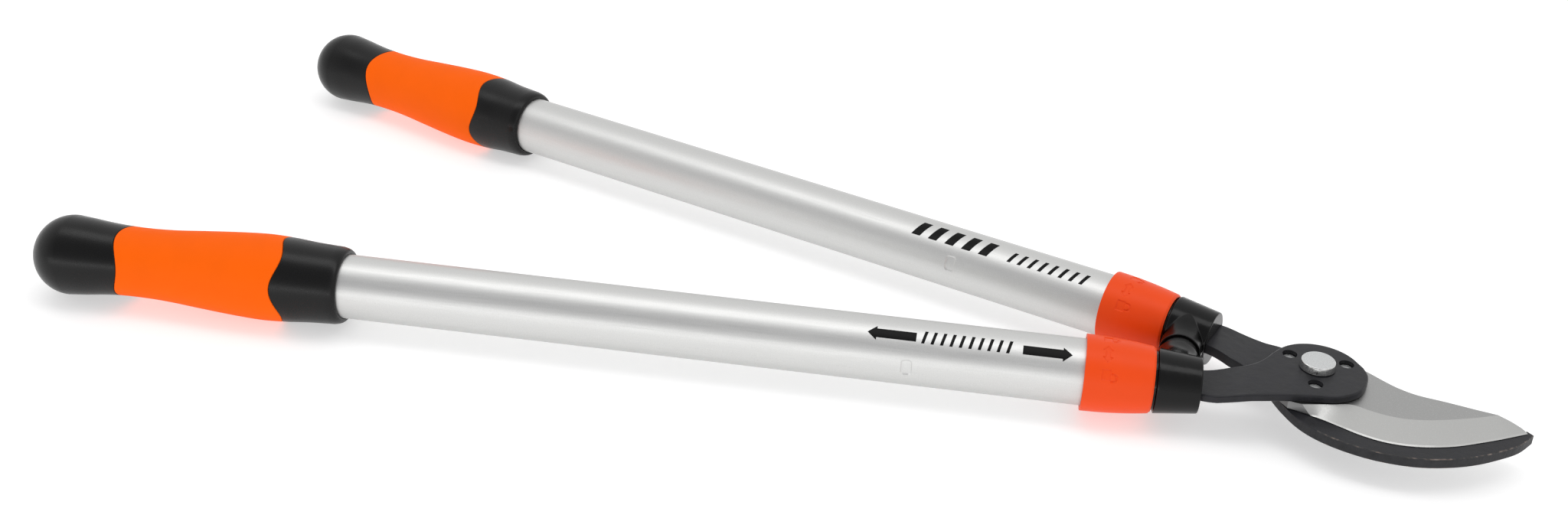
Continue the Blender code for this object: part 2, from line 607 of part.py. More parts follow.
def build_grip(name, frame, phase):
    """Hard black grip with an orange band let into it. Both ends of the band are wavy."""
    outline = grip_outline()
    bore_r = OUTER_TUBE_R + GAP
    band = [BAND_FRONT, *[s for _, s in outline if BAND_FRONT + 0.003 < s < BAND_REAR - 0.003], BAND_REAR]

    def warp(radius, angle, station):
        if radius < bore_r + 0.00005:
            return 0
        front = max(0, 1 - abs(station - BAND_FRONT) / WAVE_REACH) * math.cos(4 * (angle + phase))
        rear = max(0, 1 - abs(station - BAND_REAR) / WAVE_REACH) * math.cos(3 * (angle + phase))
        return WAVE * (front - rear)

    front_part = [point for point in outline if point[1] < BAND_FRONT - 0.003]
    rear_part = [point for point in outline if point[1] > BAND_REAR + 0.003]
    rim = [(0.0158, GRIP_FRONT), (0.0170, GRIP_FRONT + 0.0005), (0.0179, GRIP_FRONT + 0.0020)]
    outer_line = [*rim, *front_part,
                  (radius_at(outline, BAND_FRONT), BAND_FRONT),
                  *[(radius_at(outline, s) - GRIP_WALL, s) for s in band],
                  (radius_at(outline, BAND_REAR), BAND_REAR), *rear_part]
    hollow = [(0, 0.586), (0.0080, 0.584), (0.0120, 0.576), (0.0120, OUTER_TUBE_END + GAP),
              (bore_r, OUTER_TUBE_END + GAP), (bore_r, GRIP_FRONT)]
    warped_turning(name + "_grip", [*hollow, *outer_line][::-1], "grip_black", frame, warp)

    ends = [BAND_FRONT + GAP, *band[1:-1], BAND_REAR - GAP]
    outside = [(radius_at(outline, s), s) for s in ends]
    inside = [(radius_at(outline, s) - GRIP_WALL + GAP, s) for s in ends]
    warped_turning(name + "_grip_band", [*inside, *outside[::-1]], "grip_orange", frame, warp)


clear_scene()
parts = new_collection("telescopic_bypass_loppers")
cutters = new_collection("cutters")
guides = new_collection("guides")
materials = {name: make_material(name) for name in MATERIALS}

hook_side = place(bpy.data.objects.new("hook_side", None), guides)
blade_side = place(bpy.data.objects.new("blade_side", None), guides)
near_frame = handle_frame("near_handle", -1, NEAR_FOOT, 0, blade_side)
far_frame = handle_frame("far_handle", 1, FAR_FOOT, FAR_SHIFT, hook_side)

build_hook_plate(far_frame, hook_side)
build_blade_strap(near_frame, blade_side)
build_blade(blade_side)
build_dowels(blade_side)
build_pivot(hook_side, blade_side)
for handle, frame, side, plate, dimple, phase in (
        ("near", near_frame, -1, STRAP_THICKNESS, math.radians(-87), math.radians(75)),
        ("far", far_frame, 1, HOOK_THICKNESS, math.radians(-72), math.radians(105))):
    build_ferrule(handle, frame, side, plate)
    build_inner_tube(handle, frame)
    build_outer_tube(handle, frame, dimple)
    build_collet(handle, frame)
    build_collar(handle, frame)
    build_grip(handle, frame, phase)
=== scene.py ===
"""Looks of the telescopic bypass loppers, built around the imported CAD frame.

Row frame: metres, +Z up. The origin is the centre of the pivot bolt's flat top and +X runs to the blade's
tip. A handle's pieces are modelled on its own centre line: local Z runs from head to grip, local X is up,
and a station is a distance along that line. Angles round a handle are counted from the top towards -Y.
"""
import json
import math

import bmesh
import bpy
from mathutils import Matrix, Vector


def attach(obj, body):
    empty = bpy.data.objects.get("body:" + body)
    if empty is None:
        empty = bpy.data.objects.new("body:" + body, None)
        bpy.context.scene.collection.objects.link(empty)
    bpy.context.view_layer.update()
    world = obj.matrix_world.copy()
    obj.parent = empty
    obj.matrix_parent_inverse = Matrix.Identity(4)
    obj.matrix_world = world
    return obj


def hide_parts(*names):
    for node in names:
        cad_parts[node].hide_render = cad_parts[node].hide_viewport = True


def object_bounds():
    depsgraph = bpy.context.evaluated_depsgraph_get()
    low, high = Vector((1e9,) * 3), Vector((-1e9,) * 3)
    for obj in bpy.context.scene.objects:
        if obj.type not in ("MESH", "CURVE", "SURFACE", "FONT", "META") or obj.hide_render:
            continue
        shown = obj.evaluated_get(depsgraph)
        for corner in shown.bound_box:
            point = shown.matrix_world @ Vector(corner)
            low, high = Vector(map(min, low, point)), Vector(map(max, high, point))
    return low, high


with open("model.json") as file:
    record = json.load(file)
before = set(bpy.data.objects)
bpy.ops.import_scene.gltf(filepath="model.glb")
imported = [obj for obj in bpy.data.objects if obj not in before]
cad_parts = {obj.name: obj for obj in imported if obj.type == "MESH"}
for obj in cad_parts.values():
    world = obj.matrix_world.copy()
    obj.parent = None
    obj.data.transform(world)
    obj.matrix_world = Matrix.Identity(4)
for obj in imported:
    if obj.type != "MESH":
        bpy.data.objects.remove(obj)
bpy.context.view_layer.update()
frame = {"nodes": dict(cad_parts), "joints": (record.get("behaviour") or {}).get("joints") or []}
joints = {joint["name"]: joint for joint in frame["joints"]}

# Driving dimensions. They are the CAD's, apart from FERRULE_REAR, COLLAR_FRONT and GRIP_FRONT, which are
# 0.3 to 0.5 mm away from it, and apart from the finer shapes that the CAD leaves out.
GAP = 0.0003
COLLAR_JOINT_STATION = 0.0855
PLANE_Z = joints["near_collar_twist"]["pos_m"][2]

OUTER_TUBE_R = 0.0150
OUTER_BORE_R = 0.0137
INNER_TUBE_R = 0.0120
INNER_BORE_R = 0.0108
TUBE_EDGE = 0.0003

FERRULE_FRONT = 0.0515
TUBE_SOCKET = 0.0577
FERRULE_REAR = 0.0708
FERRULE_NECK_END = 0.0749
FERRULE_FRONT_R = 0.0126
FERRULE_REAR_R = 0.0147
FERRULE_NECK_R = 0.0133
PIN_STATION = 0.0820
PIN_HOLE_R = 0.0028
TANG_END = 0.0920
TANG_SHOULDER = FERRULE_FRONT + 0.0045
TANG_HALF_WIDTH = 0.01035
TANG_INNER_HALF_WIDTH = 0.0092
COLLAR_FRONT = 0.0720
COLLAR_REAR = 0.1026
OUTER_TUBE_START = 0.0890
OUTER_TUBE_END = 0.5250
INNER_TUBE_END = 0.4989
DIMPLE_STATION = 0.1803
DIMPLE_ANGLES = {"near": 87, "far": 72}

GRIP_FRONT = 0.4441
BAND_FRONT = 0.4726
BAND_REAR = 0.5525
BULB_CENTRE = 0.5796
BULB_R = 0.0191
BULB_LENGTH = 0.0183
BAND_DEPTH = 0.0012
BAND_CORNER = 0.00025
WAVE = 0.0019
WAVE_REACH = 0.014
WAVE_PHASES = {"near": 75, "far": 105}

CLOSED_MIDLINE_Y = -0.0057
BOSS_X = -0.0600
BOSS_FACE_OFFSET = 0.00245
# A boss's depth from its face, and its half width and half height there, in millimetres
BOSS_FLARE = [(0, 9.6, 9.6), (5, 9.6, 9.7), (9, 9.7, 10.5), (12.3, 10.1, 11.7), (15, 10.3, 12.3),
              (19, 10.3, 12.5)]
BUFFER_R = 0.0080
BUFFER_POCKET = 0.0033

STRAP_THICKNESS = 0.0040
BLADE_THICKNESS = 0.0040
HOOK_THICKNESS = 0.0048
HOOK_EDGE = 0.0004
STRAP_EDGE = 0.0009
WEAR_START_X = 0.005
JOGGLE_START_X = -0.047
JOGGLE_END_X = -0.023
STRAP_RISE = 0.0040
HOOK_DROP = 0.0045
PIVOT_SHANK_R = 0.0050
PIVOT_BUSH_R = 0.0070
BOLT_HEAD_R = 0.0080
BOLT_TOP_R = 0.0072
BOLT_PROUD = 0.0010
WASHER_R = 0.0100
WASHER_THICKNESS = 0.0013
NUT_CORNER_R = 0.0098
NUT_HEIGHT = 0.0068
DOWEL_R = 0.0030
DOWEL_CIRCLE_R = 0.0143
DOWEL_SINK = 0.0021
DOWEL_ANGLES = {"blade_dowel_front": 33, "blade_dowel_back": 153, "blade_dowel_side": -87}
DRILL_REACH = 0.05

# The way each handle lies along Y, and the body that carries its front end
SIDES = {"near": -1, "far": 1}
HEAD_BODIES = {"near": "blade_side", "far": "hook_side"}


# ---- small tools ----

def mm(points):
    return [tuple(value / 1000 for value in point) for point in points]


def arc(centre, radius, start, end, count):
    """Points on a round stretch, from one angle to another in degrees."""
    angles = [math.radians(start + (end - start) * i / (count - 1)) for i in range(count)]
    return [(centre[0] + radius * math.cos(a), centre[1] + radius * math.sin(a)) for a in angles]


def smooth(points, per_span):
    """Points on a smooth curve through a few given ones."""
    knots = [points[0], *points, points[-1]]
    curve = []
    for before, start, end, after in zip(knots, knots[1:], knots[2:], knots[3:]):
        for step in range(per_span):
            t = step / per_span
            curve.append(tuple(
                0.5 * (2 * b + (c - a) * t + (2 * a - 5 * b + 4 * c - d) * t ** 2
                       + (3 * b - a - 3 * c + d) * t ** 3)
                for a, b, c, d in zip(before, start, end, after)))
    return [*curve, tuple(points[-1])]


def rounded(points, radius, steps=4):
    """A closed outline with its sharp corners rounded off. Points on the axis stay as they are."""
    result = []
    for before, corner, after in zip([points[-1], *points], points, [*points[1:], points[0]]):
        here = Vector(corner)
        back, ahead = Vector(before) - here, Vector(after) - here
        if corner[0] == 0 or back.angle(ahead, math.pi) > math.radians(150):
            result.append(tuple(corner))
            continue
        reach = min(radius, 0.45 * back.length, 0.45 * ahead.length)
        first, last = here + back.normalized() * reach, here + ahead.normalized() * reach
        for i in range(steps + 1):
            t = i / steps
            result.append(tuple(first * (1 - t) ** 2 + here * 2 * t * (1 - t) + last * t ** 2))
    return result


def refined(points, step, low=-1.0, high=1.0):
    """A profile with points added, so that no stretch between two stations is longer than step."""
    result = []
    for start, end in zip(points, points[1:]):
        result.append(start)
        if min(start[1], end[1]) < high and max(start[1], end[1]) > low:
            count = math.ceil(math.dist(start, end) / step)
            run, rise = end[0] - start[0], end[1] - start[1]
            result += [(start[0] + run * i / count, start[1] + rise * i / count) for i in range(1, count)]
    return [*result, points[-1]]


def radius_at(outline, station):
    for (r0, s0), (r1, s1) in zip(outline, outline[1:]):
        if s0 <= station <= s1:
            return r0 + (r1 - r0) * (station - s0) / (s1 - s0)
    return outline[-1][0]


def ease(value):
    """0 below 0, 1 above 1, and a smooth step between."""
    value = min(max(value, 0), 1)
    return value * value * (3 - 2 * value)


def even_angles(count):
    return [2 * math.pi * i / count for i in range(count)]


def dense_angles(low, high, fine, coarse):
    """Angles round a full turn, closer together in one stretch. It is in degrees from the top to -Y."""
    inside = math.ceil((high - low) / fine)
    outside = math.ceil((360 - high + low) / coarse)
    degrees = [low + (high - low) * i / inside for i in range(inside)]
    degrees += [high + (360 - high + low) * i / outside for i in range(outside)]
    return [-math.radians(angle) for angle in degrees]


def handle_matrix(handle):
    joint = joints[handle + "_collar_twist"]
    along = Vector(joint["axis"]).normalized()
    up = Vector((0, 0, 1))
    matrix = Matrix((up, along.cross(up), along)).transposed().to_4x4()
    matrix.translation = Vector(joint["pos_m"]) - along * COLLAR_JOINT_STATION
    return matrix


# ---- pieces ----

def add_piece(name, mesh, looks, body, matrix=None, replaces=()):
    """A finished piece on its CAD body. looks are its materials, in the order of the faces' indices."""
    obj = bpy.data.objects.new(name, mesh)
    bpy.context.scene.collection.objects.link(obj)
    if matrix is not None:
        obj.matrix_world = matrix
    for look in looks:
        mesh.materials.append(materials[look])
    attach(obj, body)
    if replaces:
        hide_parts(*replaces)
    return obj


def soften(mesh, sharp=35):
    """Smooth shading, apart from edges sharper than the angle given in degrees."""
    mesh.polygons.foreach_set("use_smooth", [True] * len(mesh.polygons))
    mesh.set_sharp_from_angle(angle=math.radians(sharp))
    return mesh


def from_bmesh(bm, name):
    bmesh.ops.recalc_face_normals(bm, faces=bm.faces)
    if bm.calc_volume(signed=True) < 0:
        bmesh.ops.reverse_faces(bm, faces=bm.faces)
    mesh = bpy.data.meshes.new(name)
    bm.to_mesh(mesh)
    bm.free()
    return mesh


def turned(name, profile, angles, warp=None):
    """Turns a (radius, station) loop round Z. A loop with both ends on the axis is closed there."""
    bm = bmesh.new()
    rings = []
    for radius, station in profile:
        if radius == 0:
            rings.append([bm.verts.new((0, 0, station))] * len(angles))
            continue
        moved = [warp(radius, a, station) if warp else (radius, station) for a in angles]
        rings.append([bm.verts.new((r * math.cos(a), r * math.sin(a), z))
                      for a, (r, z) in zip(angles, moved)])
    if profile[0][0] > 0:
        rings.append(rings[0])
    for ring, following in zip(rings, rings[1:]):
        for i in range(len(angles)):
            j = (i + 1) % len(angles)
            corners = dict.fromkeys((ring[i], ring[j], following[j], following[i]))
            bm.faces.new(tuple(corners))
    return soften(from_bmesh(bm, name))


def cylinder(name, radius, low, high, sides=48):
    bm = bmesh.new()
    bmesh.ops.create_cone(bm, cap_ends=True, segments=sides, radius1=radius, radius2=radius,
                          depth=high - low, matrix=Matrix.Translation((0, 0, (low + high) / 2)))
    return from_bmesh(bm, name)


def evaluated(obj):
    """The object's mesh with its modifiers applied. The object itself is removed."""
    depsgraph = bpy.context.evaluated_depsgraph_get()
    mesh = bpy.data.meshes.new_from_object(obj.evaluated_get(depsgraph))
    bpy.data.objects.remove(obj)
    return mesh


def combined(mesh, steps):
    """The mesh after a row of (operation, tool mesh, tool matrix) booleans."""
    obj = bpy.data.objects.new("work", mesh)
    bpy.context.scene.collection.objects.link(obj)
    tools = []
    for operation, tool_mesh, matrix in steps:
        tool_mesh.transform(matrix)
        tool = bpy.data.objects.new("tool", tool_mesh)
        bpy.context.scene.collection.objects.link(tool)
        modifier = obj.modifiers.new(operation, "BOOLEAN")
        modifier.operation = operation
        modifier.solver = "EXACT"
        modifier.object = tool
        tools.append(tool)
    bpy.context.view_layer.update()
    bm = bmesh.new()
    bm.from_mesh(evaluated(obj))
    for tool in tools:
        bpy.data.objects.remove(tool)
    bmesh.ops.remove_doubles(bm, verts=bm.verts, dist=0.000002)
    bmesh.ops.dissolve_degenerate(bm, edges=bm.edges, dist=0.000002)
    bmesh.ops.delete(bm, geom=[vertex for vertex in bm.verts if not vertex.link_faces], context="VERTS")
    return from_bmesh(bm, mesh.name)


def drilled(mesh, holes):
    """The mesh with (centre, radius) holes drilled through it along Z."""
    return combined(mesh, [("DIFFERENCE", cylinder("drill", radius, -DRILL_REACH, DRILL_REACH),
                            Matrix.Translation((x, y, 0))) for (x, y), radius in holes])


def smoothed(mesh):
    """The mesh rebuilt from fine voxels and smoothed, which rounds its inner corners."""
    work = bpy.data.objects.new("work", mesh)
    bpy.context.scene.collection.objects.link(work)
    remesh = work.modifiers.new("even", "REMESH")
    remesh.mode = "VOXEL"
    remesh.voxel_size = 0.00027
    fillet = work.modifiers.new("fillet", "SMOOTH")
    fillet.factor = 0.5
    fillet.iterations = 4
    bpy.context.view_layer.update()
    return evaluated(work)


def plate(name, outline, thickness, edge):
    """A flat plate centred on Z 0. Faces: 0 flats and unworn edges, 1 sides, 2 worn rounded edges."""
    curve = bpy.data.curves.new(name, "CURVE")
    curve.dimensions = "2D"
    curve.fill_mode = "BOTH"
    curve.extrude = thickness / 2 - edge
    curve.bevel_depth = edge
    curve.bevel_resolution = 2
    curve.offset = -edge
    spline = curve.splines.new("POLY")
    spline.points.add(len(outline) - 1)
    for point, (x, y) in zip(spline.points, outline):
        point.co = (x, y, 0, 1)
    spline.use_cyclic_u = True
    obj = bpy.data.objects.new(name, curve)
    bpy.context.scene.collection.objects.link(obj)
    bm = bmesh.new()
    bm.from_mesh(evaluated(obj))
    bmesh.ops.remove_doubles(bm, verts=bm.verts, dist=0.000001)
    bmesh.ops.recalc_face_normals(bm, faces=bm.faces)
    for face in bm.faces:
        level = abs(face.normal.z)
        face.material_index = 0 if level > 0.98 else 1 if level < 0.02 else 2
        if face.material_index == 2 and face.calc_center_median().x < WEAR_START_X:
            face.material_index = 0
    return bm


def joggled(bm, name, tang_height, head_height, holes):
    """Sets a plate's heights at tang and head, with a smooth step between, and drills its holes."""
    steps = 20
    span = JOGGLE_END_X - JOGGLE_START_X
    for i in range(steps + 1):
        bmesh.ops.bisect_plane(bm, geom=[*bm.verts, *bm.edges, *bm.faces], dist=0.000001,
                               plane_co=(JOGGLE_START_X + span * i / steps, 0, 0), plane_no=(1, 0, 0))
    for vertex in bm.verts:
        step = ease((vertex.co.x - JOGGLE_START_X) / span)
        vertex.co.z += tang_height + (head_height - tang_height) * step
    return soften(drilled(from_bmesh(bm, name), holes), sharp=50)


def weighted_normals(obj):
    """Keeps the flats flat next to rounded edges."""
    modifier = obj.modifiers.new("weighted_normals", "WEIGHTED_NORMAL")
    modifier.keep_sharp = True


def tang_points(handle):
    """The tang's outline, from the edge nearer +Y to the edge nearer -Y, round its hidden end."""
    edge = [(TANG_HALF_WIDTH, FERRULE_FRONT), (TANG_HALF_WIDTH, TANG_SHOULDER),
            (TANG_INNER_HALF_WIDTH, TANG_SHOULDER), (TANG_INNER_HALF_WIDTH, TANG_END)]
    local = edge + [(-across, along) for across, along in edge[::-1]]
    matrix = handle_matrix(handle)
    return [tuple((matrix @ Vector((0, across, along)))[:2]) for across, along in local]


def pin_hole(handle):
    centre = handle_matrix(handle) @ Vector((0, 0, PIN_STATION))
    return (centre.x, centre.y), PIN_HOLE_R


def dowel_centres():
    return [(DOWEL_CIRCLE_R * math.cos(math.radians(a)), DOWEL_CIRCLE_R * math.sin(math.radians(a)))
            for a in DOWEL_ANGLES.values()]


def dowel_holes():
    return [(centre, DOWEL_R + GAP) for centre in dowel_centres()]


# ---- materials ----

materials = {}


def new_material(name, colour, roughness, metallic=0.0, specular=0.5):
    material = bpy.data.materials.new(name)
    materials[name] = material
    material.use_nodes = True
    shader = material.node_tree.nodes["Principled BSDF"]
    shader.inputs["Base Color"].default_value = (*colour, 1)
    shader.inputs["Roughness"].default_value = roughness
    shader.inputs["Metallic"].default_value = metallic
    shader.inputs["Specular IOR Level"].default_value = specular
    return material


def noise(material, size, stretch=(1, 1, 1), detail=3.0):
    """Noise with features of about the size in metres, drawn out along each axis by its stretch."""
    nodes, links = material.node_tree.nodes, material.node_tree.links
    place = nodes.new("ShaderNodeTexCoord")
    mapping = nodes.new("ShaderNodeMapping")
    mapping.inputs["Scale"].default_value = [1 / (size * s) for s in stretch]
    texture = nodes.new("ShaderNodeTexNoise")
    texture.inputs["Scale"].default_value = 1
    texture.inputs["Detail"].default_value = detail
    links.new(place.outputs["Object"], mapping.inputs["Vector"])
    links.new(mapping.outputs["Vector"], texture.inputs["Vector"])
    return texture.outputs["Fac"]


def vary_roughness(material, source, low, high):
    nodes, links = material.node_tree.nodes, material.node_tree.links
    span = nodes.new("ShaderNodeMapRange")
    span.inputs["From Min"].default_value = 0.3
    span.inputs["From Max"].default_value = 0.7
    span.inputs["To Min"].default_value = low
    span.inputs["To Max"].default_value = high
    links.new(source, span.inputs["Value"])
    links.new(span.outputs["Result"], nodes["Principled BSDF"].inputs["Roughness"])


def vary_colour(material, source, stops):
    """Colours along the noise, as (position, colour) stops."""
    nodes, links = material.node_tree.nodes, material.node_tree.links
    ramp = nodes.new("ShaderNodeValToRGB")
    elements = ramp.color_ramp.elements
    while len(elements) < len(stops):
        elements.new(0.5)
    for element, (position, colour) in zip(elements, stops):
        element.position = position
        element.color = (*colour, 1)
    links.new(source, ramp.inputs["Fac"])
    links.new(ramp.outputs["Color"], nodes["Principled BSDF"].inputs["Base Color"])


def add_bump(material, *layers):
    """Relief from (source, height in metres) layers, one on the other."""
    nodes, links = material.node_tree.nodes, material.node_tree.links
    below = None
    for source, height in layers:
        bump = nodes.new("ShaderNodeBump")
        bump.inputs["Distance"].default_value = height
        links.new(source, bump.inputs["Height"])
        if below is not None:
            links.new(below.outputs["Normal"], bump.inputs["Normal"])
        below = bump
    links.new(below.outputs["Normal"], nodes["Principled BSDF"].inputs["Normal"])


def tinted(colour, share):
    return tuple(value * share for value in colour)


def make_aluminium():
    colour = (0.655, 0.655, 0.645)
    material = new_material("tube_aluminium", colour, 0.46, 1.0)
    grain = noise(material, 0.0004, (1, 1, 60))
    speckle = noise(material, 0.0003)
    vary_colour(material, speckle, [(0.35, tinted(colour, 0.95)), (0.65, tinted(colour, 1.04))])
    vary_roughness(material, grain, 0.42, 0.50)
    add_bump(material, (grain, 0.00001), (speckle, 0.000006))


def make_strap_steel():
    colour = (0.010, 0.010, 0.0125)
    material = new_material("strap_steel", colour, 0.42, 0.0, 0.3)
    mottle = noise(material, 0.006, detail=5)
    grit = noise(material, 0.0004)
    vary_colour(material, mottle, [(0.3, tinted(colour, 0.75)), (0.7, tinted(colour, 1.5))])
    vary_roughness(material, mottle, 0.32, 0.46)
    add_bump(material, (grit, 0.00003), (mottle, 0.0002))


def make_strap_edge():
    colour = (0.014, 0.014, 0.016)
    material = new_material("strap_edge", colour, 0.4, 0.0, 0.4)
    rub = noise(material, 0.0016, (2, 1, 1), detail=6)
    vary_colour(material, rub, [(0.35, colour), (0.5, (0.035, 0.032, 0.031)), (0.6, (0.13, 0.10, 0.085)),
                                (0.75, (0.22, 0.19, 0.17))])
    vary_roughness(material, rub, 0.32, 0.45)
    add_bump(material, (rub, 0.00004))


def make_cut_steel():
    colour = (0.016, 0.016, 0.018)
    material = new_material("cut_steel", colour, 0.5, 0.0, 0.3)
    drag = noise(material, 0.0006, (1, 1, 8), detail=4)
    blotch = noise(material, 0.004)
    vary_colour(material, blotch, [(0.3, tinted(colour, 0.7)), (0.7, tinted(colour, 1.35))])
    vary_roughness(material, drag, 0.42, 0.6)
    add_bump(material, (drag, 0.00006))


def make_blade_steel(name, colour, sparkle, grain_stretch):
    """Ground steel with bright specks, sparkle times as bright as the rest."""
    material = new_material(name, colour, 0.42, 1.0)
    grain = noise(material, 0.0005, grain_stretch)
    speckle = noise(material, 0.00035, detail=1)
    vary_colour(material, speckle, [(0.4, tinted(colour, 0.98)), (0.66, colour),
                                    (0.74, tinted(colour, sparkle))])
    vary_roughness(material, grain, 0.38, 0.48)
    add_bump(material, (grain, 0.000006))


def make_zinc(name, colour, roughness, relief):
    material = new_material(name, colour, roughness, 1.0)
    frost = noise(material, 0.0005, detail=5)
    vary_colour(material, frost, [(0.35, tinted(colour, 0.85)), (0.65, tinted(colour, 1.1))])
    vary_roughness(material, frost, roughness - 0.06, roughness + 0.08)
    add_bump(material, (frost, relief))


def make_plastic(name, colour, roughness, grain_size, relief, specular=0.5):
    """A moulded plastic or rubber: a fine-grained surface with slight changes of colour."""
    material = new_material(name, colour, roughness, 0.0, specular)
    cloud = noise(material, 0.012)
    grain = noise(material, grain_size, detail=2)
    vary_colour(material, cloud, [(0.3, tinted(colour, 0.98)), (0.7, tinted(colour, 1.01))])
    vary_roughness(material, grain, roughness - 0.04, roughness + 0.04)
    add_bump(material, (grain, relief))


def make_all_materials():
    make_aluminium()
    make_strap_steel()
    make_strap_edge()
    make_cut_steel()
    make_blade_steel("blade_flat", (0.40, 0.40, 0.395), 1.5, (1, 1, 1))
    make_blade_steel("blade_bevel", (0.49, 0.49, 0.48), 1.15, (1, 6, 1))
    # blade_side: the blanked sides' steel at half the flats' brightness. The darkening is painted shade on
    # the sides, which face away from the light under the strap.
    make_blade_steel("blade_side", (0.20, 0.20, 0.20), 1.2, (1, 1, 4))
    make_blade_steel("blade_edge", (0.53, 0.53, 0.52), 1.1, (1, 6, 1))
    make_zinc("zinc_top", (0.66, 0.67, 0.67), 0.42, 0.00008)
    make_zinc("zinc_side", (0.66, 0.66, 0.65), 0.18, 0.00001)
    make_zinc("bronze", (0.45, 0.30, 0.12), 0.35, 0.00002)
    make_plastic("ferrule_plastic", (0.002, 0.002, 0.002), 0.2, 0.002, 0.00002, 0.24)
    make_plastic("collar_plastic", (0.86, 0.070, 0.005), 0.42, 0.0003, 0.00002, 0.2)
    make_plastic("grip_black", (0.003, 0.003, 0.003), 0.30, 0.0005, 0.00002, 0.26)
    make_plastic("grip_orange", (0.98, 0.128, 0.001), 0.62, 0.0004, 0.00003, 0.08)
    make_plastic("buffer_rubber", (0.010, 0.010, 0.010), 0.7, 0.0004, 0.00003)
    make_plastic("bush_plastic", (0.35, 0.35, 0.34), 0.5, 0.0004, 0.00002)
    make_plastic("tube_print", (0.002, 0.002, 0.002), 0.35, 0.0004, 0.00001, 0.12)


# ---- the head ----

def head_outline_parts():
    """The hook's and the strap's outlines beyond their tangs, as the CAD has them but finer."""
    hook_upper = mm([(-37, 24.9), (-28, 25.3), (-19, 24.6), (-9, 22.6)])
    hook_hub = arc((0, 0), 0.0218, 85, -15, 33)
    hook_inner = smooth(mm([(23, -14), (28, -21.5), (37, -26.8), (48, -27.8), (58, -25), (68, -19.6),
                            (78, -12.3), (86, -5.8), (90.5, -2.8)]), 8)
    hook_outer = smooth(mm([(93.2, -5), (88, -14.8), (80.6, -22.9), (71, -31.3), (60, -38), (47, -43),
                            (32, -44.8), (18.5, -43.3), (6.5, -39.4), (-3, -33.2), (-11.3, -23.6),
                            (-18, -13.5), (-25, -5), (-32, -0.8), (-38, 0.3)]), 8)
    strap_upper = smooth(mm([(-43.4, -14.3), (-37, -11.8), (-30, -9.3), (-26, -6.2), (-22.6, -1),
                             (-20.2, 5)]), 8)
    strap_crown = arc((0, 0), 0.0203, 160, 37, 41)
    strap_nose = smooth(mm([(19.6, 8), (22, 2), (21.8, -6), (18.9, -14), (11.2, -21), (0, -24.6),
                            (-11.3, -28.8), (-20, -32.6), (-29, -36.2), (-38, -37.6)]), 8)
    return [*hook_upper, *hook_hub, *hook_inner, *hook_outer], [*strap_upper, *strap_crown, *strap_nose]


def build_plates():
    """The hook plate and the blade's strap. Their outlines, listed clockwise, are turned round here."""
    looks = ["strap_steel", "cut_steel", "strap_edge"]
    hook_rest, strap_rest = head_outline_parts()
    hook = plate("hook", [*tang_points("far")[::-1], *hook_rest][::-1], HOOK_THICKNESS, HOOK_EDGE)
    hook_mesh = joggled(hook, "hook", PLANE_Z, PLANE_Z - HOOK_DROP,
                        [((0, 0), PIVOT_SHANK_R + GAP), pin_hole("far")])
    hook_piece = add_piece("hook_plate_ground", hook_mesh, looks, "hook_side",
                           replaces=["hook_plate"])
    strap_outline = [*tang_points("near")[::-1], *strap_rest][::-1]
    strap = plate("strap", strap_outline, STRAP_THICKNESS - GAP, STRAP_EDGE)
    strap_mesh = joggled(strap, "strap", PLANE_Z, PLANE_Z + STRAP_RISE,
                         [((0, 0), PIVOT_BUSH_R + GAP), pin_hole("near"), *dowel_holes()])
    strap_piece = add_piece("blade_strap_pressed", strap_mesh, ["strap_steel"] * 3, "blade_side",
                            replaces=["blade_strap"])
    weighted_normals(hook_piece)
    weighted_normals(strap_piece)


def inset(points, distance):
    """An open line moved to its left by a distance."""
    moved = []
    for before, here, after in zip([points[0], *points], points, [*points[1:], points[-1]]):
        run = Vector(after[:2]) - Vector(before[:2])
        run.normalize()
        moved.append((here[0] - run.y * distance, here[1] + run.x * distance))
    return moved


